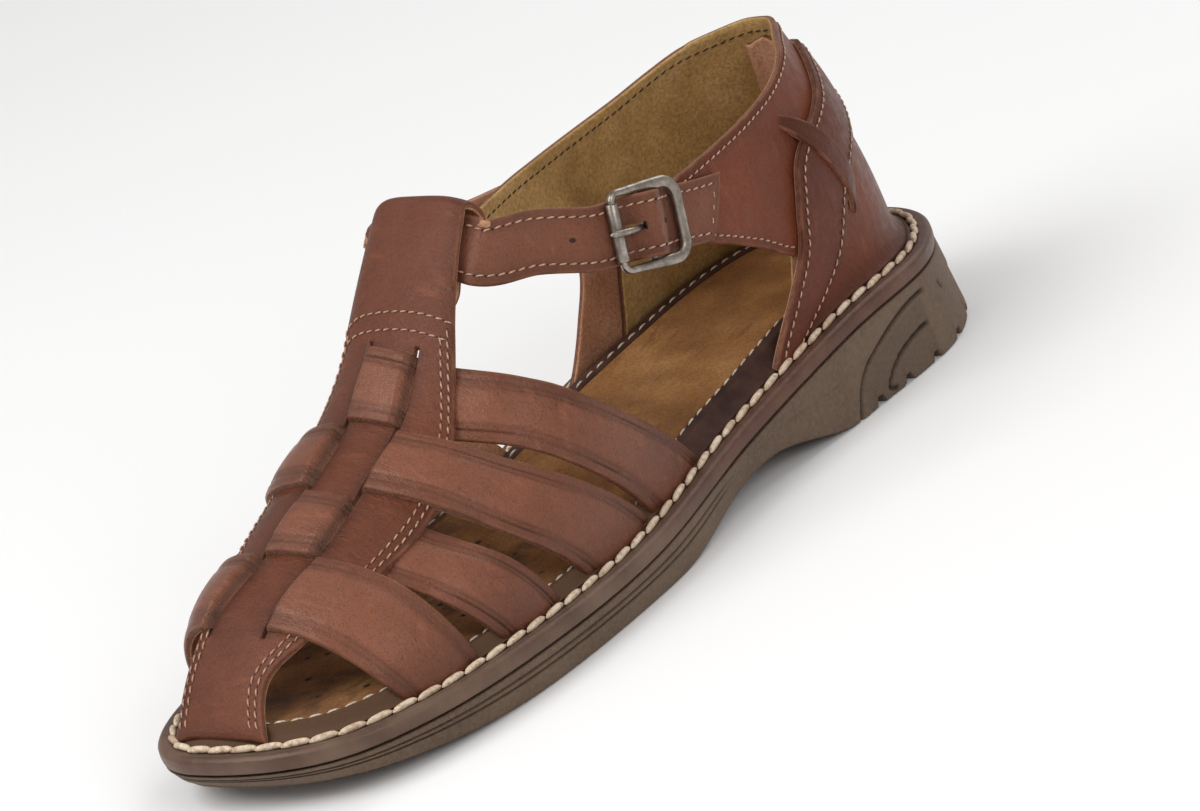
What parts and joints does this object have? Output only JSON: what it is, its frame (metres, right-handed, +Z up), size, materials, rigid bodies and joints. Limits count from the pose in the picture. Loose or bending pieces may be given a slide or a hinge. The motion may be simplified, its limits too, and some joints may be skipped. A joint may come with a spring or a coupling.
{
  "type": "fisherman sandal",
  "caption": "Left closed-back fisherman sandal: woven leather straps over the toes, buckled ankle strap through a folded loop, wrapped heel counter, stitched midsole and low-heeled rubber sole.",
  "frame": {"origin": "middle of the shoe's box on the floor that the sole stands on", "axes": "+Z up, the toe points to -Y, the outer (lateral) side of this left shoe to +X"},
  "size_m": [0.0956, 0.2952, 0.1076],
  "materials": {
    "outsole_rubber": "moulded taupe rubber, satin with a fine leather grain",
    "midsole_band": "glossy dark brown band with stitching on top",
    "insole_suede": "tan suede, matt",
    "vamp_leather": "waxed reddish brown leather, soft sheen",
    "counter_leather": "waxed reddish brown leather, soft sheen",
    "strap_leather": "waxed reddish brown leather, soft sheen",
    "buckle_metal": "aged nickel, satin",
    "roller_metal": "aged nickel, satin",
    "prong_metal": "aged nickel, satin",
    "fine_thread": "waxed sewing thread, pale tan",
    "welt_thread": "thick pale thread",
    "lining_suede": "tan suede lining, matt",
    "raw_edge": "cut leather edge, matt"
  },
  "bodies": {
    "root": {"outsole": "outsole_rubber", "midsole": "midsole_band", "insole": "insole_suede", "vamp": "vamp_leather", "counter": "counter_leather", "ankle_strap": "strap_leather", "buckle_frame": "buckle_metal", "buckle_roller": "roller_metal", "buckle_prong": "prong_metal"}
  },
  "joints": []
}
